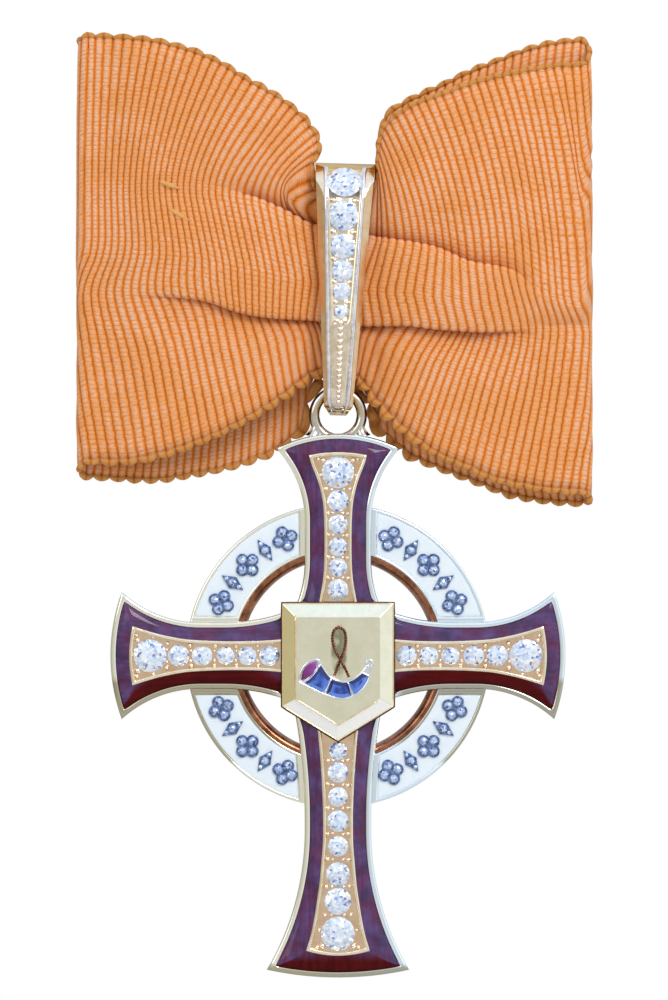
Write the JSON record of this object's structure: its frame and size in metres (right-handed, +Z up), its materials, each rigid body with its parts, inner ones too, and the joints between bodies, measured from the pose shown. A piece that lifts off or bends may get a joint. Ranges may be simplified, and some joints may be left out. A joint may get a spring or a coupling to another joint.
{
  "type": "honour medal",
  "caption": "Gold cross badge with a ring between its arms, a bevelled shield and set stones, hung by a jewelled bail from a folded bow of ribbed ribbon.",
  "frame": {"origin": "middle of the brooch pin's stem, behind the bow, where the medal is pinned on", "axes": "+Z up, the front faces -Y, +X to the viewer's right"},
  "size_m": [0.0581, 0.0118, 0.1049],
  "materials": {
    "silk": "ribbed orange silk with a knotted selvedge",
    "pin_gold": "satin",
    "bail_gold": "polished pale gold",
    "frame_gold": "polished gold, pale on its rims",
    "dark_enamel": "glossy purple-red enamel",
    "white_enamel": "glossy white enamel",
    "old_silver": "darkened silver",
    "rose_cut": "rose-cut diamond",
    "diamond": "old-cut diamond",
    "shield_gold": "polished champagne gold",
    "bright_silver": "polished silver",
    "copper_gold": "red gold wire",
    "ruby": "polished",
    "sapphire": "polished"
  },
  "bodies": {
    "bow": {"ribbon": "silk", "pin": "pin_gold", "bail": "bail_gold", "bail_stone_1": "diamond", "bail_stone_2": "diamond", "bail_stone_3": "diamond", "bail_stone_4": "diamond", "bail_stone_5": "diamond", "bail_stone_6": "diamond"},
    "badge": {"cross": "frame_gold", "enamel_top": "dark_enamel", "enamel_right": "dark_enamel", "enamel_bottom": "dark_enamel", "enamel_left": "dark_enamel", "ring_enamel_1": "white_enamel", "ring_enamel_2": "white_enamel", "ring_enamel_3": "white_enamel", "ring_enamel_4": "white_enamel", "ring_mounts_1": "old_silver", "ring_mounts_2": "old_silver", "ring_mounts_3": "old_silver", "ring_mounts_4": "old_silver", "ring_stones_1": "rose_cut", "ring_stones_2": "rose_cut", "ring_stones_3": "rose_cut", "ring_stones_4": "rose_cut", "stone_top_1": "diamond", "stone_top_2": "diamond", "stone_top_3": "diamond", "stone_top_4": "diamond", "stone_top_5": "diamond", "stone_top_6": "diamond", "stone_right_1": "diamond", "stone_right_2": "diamond", "stone_right_3": "diamond", "stone_right_4": "diamond", "stone_right_5": "diamond", "stone_right_6": "diamond", "stone_bottom_1": "diamond", "stone_bottom_2": "diamond", "stone_bottom_3": "diamond", "stone_bottom_4": "diamond", "stone_bottom_5": "diamond", "stone_bottom_6": "diamond", "stone_bottom_7": "diamond", "stone_bottom_8": "diamond", "stone_left_1": "diamond", "stone_left_2": "diamond", "stone_left_3": "diamond", "stone_left_4": "diamond", "stone_left_5": "diamond", "stone_left_6": "diamond", "shield": "shield_gold", "horn": "bright_silver", "horn_loop": "copper_gold", "horn_ruby": "ruby", "horn_sapphire_1": "sapphire", "horn_sapphire_2": "sapphire", "horn_sapphire_3": "sapphire"}
  },
  "joints": [
    {"name": "swing", "type": "hinge", "parent": "bow", "child": "badge", "pos_m": [0, -0.0065, -0.0157], "axis": [-1, 0, 0], "range_deg": [-5, 75]}
  ]
}
